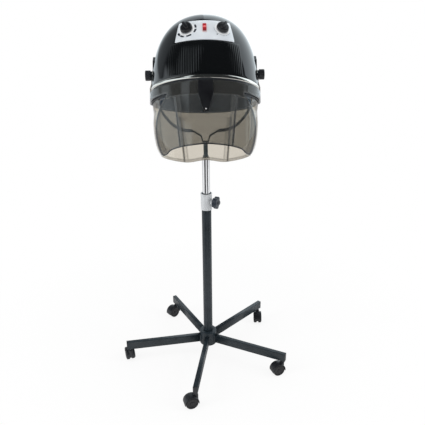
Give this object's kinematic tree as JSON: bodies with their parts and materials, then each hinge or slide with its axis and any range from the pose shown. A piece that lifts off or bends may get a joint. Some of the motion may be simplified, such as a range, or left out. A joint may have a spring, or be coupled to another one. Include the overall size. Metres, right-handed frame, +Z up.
{
  "type": "standing hood dryer",
  "caption": "Domed hair-drying hood with a lift-up tinted visor and clear rear skirt, tilted in a yoke on a telescoping column with a castered star base.",
  "frame": {"origin": "on the floor, on the column's axis", "axes": "+Z up along the column, the hood's front and its visor face -Y, +X to the right of someone facing +Y"},
  "size_m": [0.5786, 0.5871, 1.1826],
  "materials": {
    "frame_paint": "satin black powder coat",
    "stem_steel": "dark enamel on round bar",
    "black_plastic": "moulded satin black",
    "caster_plastic": "moulded nylon",
    "wheel_rubber": "smooth hard tread",
    "socket_steel": "zinc-plated",
    "tube_chrome": "bright chrome",
    "collar_silver": "silver lacquer",
    "pale_bush": "natural nylon",
    "dome_gloss": "high-gloss black",
    "band_black": "ribbed satin black",
    "bowl_dark": "dark blue-grey",
    "ring_bright": "bright plated trim",
    "skirt_clear": "lightly tinted, see-through",
    "visor_tint": "smoke tinted, see-through",
    "panel_silver": "silver-white lacquer",
    "switch_red": "red",
    "heater_wire": "dull wire on mica"
  },
  "bodies": {
    "base": {"hub": "frame_paint", "leg_1": "frame_paint", "leg_2": "frame_paint", "leg_3": "frame_paint", "leg_4": "frame_paint", "leg_5": "frame_paint", "leg_end_plugs": "black_plastic", "caster_sockets": "socket_steel", "outer_tube": "frame_paint", "column_bolt": "socket_steel", "tube_collar": "collar_silver", "collar_bush": "black_plastic"},
    "clamp_knob": {"clamp_knob": "black_plastic"},
    "inner_column": {"inner_tube": "tube_chrome", "tube_foot_guide": "black_plastic", "stem_bush": "pale_bush"},
    "yoke": {"yoke_stem": "stem_steel", "yoke": "frame_paint"},
    "hood": {"dome": "dome_gloss", "front_ribs": "dome_gloss", "trim_ring": "ring_bright", "ribbed_band": "band_black", "air_bowl": "bowl_dark", "rear_skirt": "skirt_clear", "pivot_cheek_left": "black_plastic", "pivot_cheek_right": "black_plastic", "control_panel": "panel_silver", "timer": "pale_bush", "heat_switch": "pale_bush", "power_switch_case": "switch_red", "cord_gland": "black_plastic", "baffle_plate": "socket_steel", "motor": "socket_steel", "motor_mount": "socket_steel", "heater": "heater_wire", "bowl_screws": "socket_steel"},
    "fan": {"fan": "band_black"},
    "visor": {"visor": "visor_tint", "visor_handle": "black_plastic", "handle_screws": "socket_steel"},
    "timer_knob": {"timer_knob": "black_plastic"},
    "heat_knob": {"heat_knob": "black_plastic"},
    "power_rocker": {"power_rocker": "switch_red"},
    "tilt_knob_left": {"tilt_knob_left": "black_plastic"},
    "tilt_knob_right": {"tilt_knob_right": "black_plastic"},
    "caster_1": {"caster_body_1": "caster_plastic"},
    "wheels_1": {"caster_wheels_1": "wheel_rubber"},
    "caster_2": {"caster_body_2": "caster_plastic"},
    "wheels_2": {"caster_wheels_2": "wheel_rubber"},
    "caster_3": {"caster_body_3": "caster_plastic"},
    "wheels_3": {"caster_wheels_3": "wheel_rubber"},
    "caster_4": {"caster_body_4": "caster_plastic"},
    "wheels_4": {"caster_wheels_4": "wheel_rubber"},
    "caster_5": {"caster_body_5": "caster_plastic"},
    "wheels_5": {"caster_wheels_5": "wheel_rubber"}
  },
  "joints": [
    {"name": "clamp_turn", "type": "hinge", "parent": "base", "child": "clamp_knob", "pos_m": [0, 0, 0.6002], "axis": [0.891, -0.454, 0], "range_deg": [0, 350]},
    {"name": "column_height", "type": "slide", "parent": "base", "child": "inner_column", "axis": [0, 0, 1], "range_m": [-0.1, 0.25]},
    {"name": "yoke_swivel", "type": "hinge", "parent": "inner_column", "child": "yoke", "pos_m": [0, 0, 0.7512], "axis": [0, 0, 1], "continuous": true},
    {"name": "hood_tilt", "type": "hinge", "parent": "yoke", "child": "hood", "pos_m": [0, -0.09243, 1.02068], "axis": [-1, 0, 0], "range_deg": [0, 60]},
    {"name": "visor_lift", "type": "hinge", "parent": "hood", "child": "visor", "pos_m": [0, -0.09243, 1.02068], "axis": [-1, 0, 0], "range_deg": [0, 45]},
    {"name": "tilt_lock_left", "type": "hinge", "parent": "hood", "child": "tilt_knob_left", "pos_m": [-0.155, -0.09243, 1.02068], "axis": [-1, 0, 0], "range_deg": [0, 350]},
    {"name": "tilt_lock_right", "type": "hinge", "parent": "hood", "child": "tilt_knob_right", "pos_m": [0.155, -0.09243, 1.02068], "axis": [1, 0, 0], "range_deg": [0, 350]},
    {"name": "timer_turn", "type": "hinge", "parent": "hood", "child": "timer_knob", "pos_m": [-0.04736, -0.16617, 1.15065], "axis": [0.33, 0.5882, -0.7383], "range_deg": [0, 300]},
    {"name": "heat_turn", "type": "hinge", "parent": "hood", "child": "heat_knob", "pos_m": [0.04736, -0.16617, 1.15065], "axis": [-0.33, 0.5882, -0.7383], "range_deg": [-120, 120]},
    {"name": "power_rock", "type": "hinge", "parent": "hood", "child": "power_rocker", "pos_m": [0, -0.16987, 1.14896], "axis": [1, 0, 0], "range_deg": [0, 14]},
    {"name": "fan_spin", "type": "hinge", "parent": "hood", "child": "fan", "pos_m": [0, -0.07982, 1.049], "axis": [0, 0.4067, 0.9135], "continuous": true},
    {"name": "caster_1_swivel", "type": "hinge", "parent": "base", "child": "caster_1", "pos_m": [0.25483, -0.12984, 0.0522], "axis": [0, 0, 1], "continuous": true},
    {"name": "caster_1_roll", "type": "hinge", "parent": "caster_1", "child": "wheels_1", "pos_m": [0.23979, -0.13531, 0.021], "axis": [0.342, -0.9397, 0], "continuous": true},
    {"name": "caster_2_swivel", "type": "hinge", "parent": "base", "child": "caster_2", "pos_m": [0.20223, 0.20223, 0.0522], "axis": [0, 0, 1], "continuous": true},
    {"name": "caster_2_roll", "type": "hinge", "parent": "caster_2", "child": "wheels_2", "pos_m": [0.20167, 0.18624, 0.021], "axis": [0.9994, -0.0349, 0], "continuous": true},
    {"name": "caster_3_swivel", "type": "hinge", "parent": "base", "child": "caster_3", "pos_m": [-0.12984, 0.25483, 0.0522], "axis": [0, 0, 1], "continuous": true},
    {"name": "caster_3_roll", "type": "hinge", "parent": "caster_3", "child": "wheels_3", "pos_m": [-0.14154, 0.24392, 0.021], "axis": [0.682, -0.7314, 0], "continuous": true},
    {"name": "caster_4_swivel", "type": "hinge", "parent": "base", "child": "caster_4", "pos_m": [-0.28248, -0.04474, 0.0522], "axis": [0, 0, 1], "continuous": true},
    {"name": "caster_4_roll", "type": "hinge", "parent": "caster_4", "child": "wheels_4", "pos_m": [-0.28769, -0.02961, 0.021], "axis": [-0.9455, -0.3256, 0], "continuous": true},
    {"name": "caster_5_swivel", "type": "hinge", "parent": "base", "child": "caster_5", "pos_m": [-0.04474, -0.28248, 0.0522], "axis": [0, 0, 1], "continuous": true},
    {"name": "caster_5_roll", "type": "hinge", "parent": "caster_5", "child": "wheels_5", "pos_m": [-0.06004, -0.28716, 0.021], "axis": [0.2924, -0.9563, 0], "continuous": true}
  ]
}
